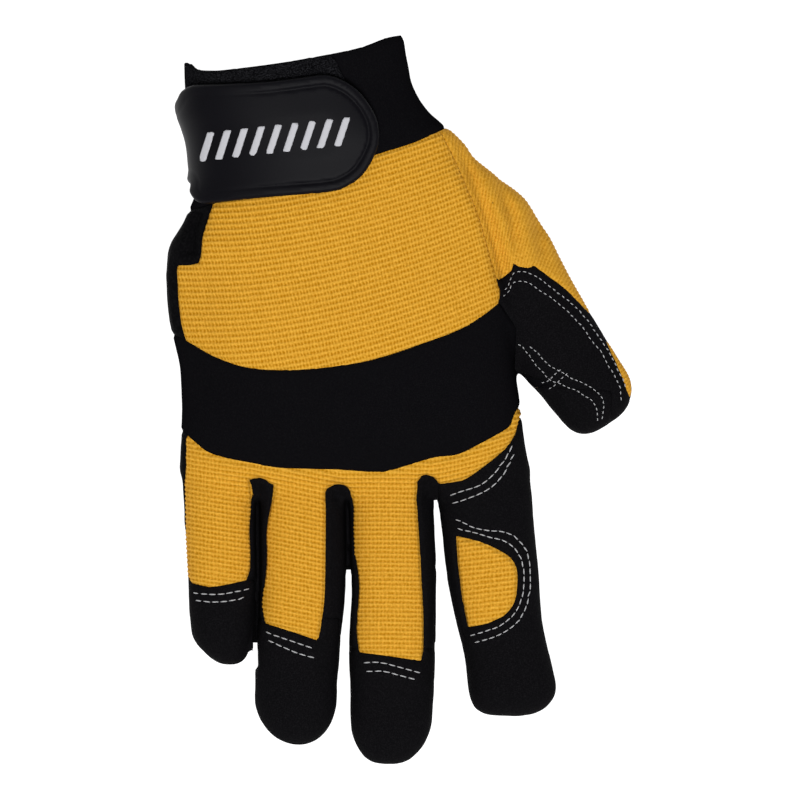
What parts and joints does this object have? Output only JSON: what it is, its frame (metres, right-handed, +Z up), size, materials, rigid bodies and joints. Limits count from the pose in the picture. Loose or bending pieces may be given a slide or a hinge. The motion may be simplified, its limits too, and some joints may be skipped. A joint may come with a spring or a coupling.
{
  "type": "mechanic glove",
  "caption": "Right-hand mechanic glove: black leather palm and fingertips, yellow ribbed knit back, black knuckle band, neoprene cuff with a moulded wrist tab, white double stitching.",
  "frame": {"origin": "middle of the glove's box in plan, on the surface that it lies on", "axes": "+Z up from the surface through the back of the hand, fingers to -Y, cuff to +Y, thumb to +X"},
  "size_m": [0.1548, 0.2402, 0.0519],
  "materials": {
    "knit": "golden yellow ribbed elastic knit, matte",
    "leather": "black synthetic suede leather, soft satin with fine grain",
    "neoprene": "black neoprene faced with fine knit, matte",
    "velour": "black brushed loop pile, matte",
    "rubber": "black moulded rubber, satin",
    "print": "pale grey raised bars moulded on the wrist tab, satin",
    "thread": "pale grey polyester sewing thread"
  },
  "bodies": {
    "root": {"palm": "leather", "cuff": "neoprene", "back_panel": "knit", "thumb_back": "knit", "knuckle_band": "neoprene", "finger_knit": "knit", "index_window": "knit", "index_guard": "leather", "little_tip": "leather", "ring_tip": "leather", "middle_tip": "leather", "thumb_guard": "leather", "little_ring_strip": "leather", "ring_middle_strip": "leather", "middle_index_strip": "leather", "loop_patch": "velour", "wrist_strap": "rubber"}
  },
  "joints": []
}
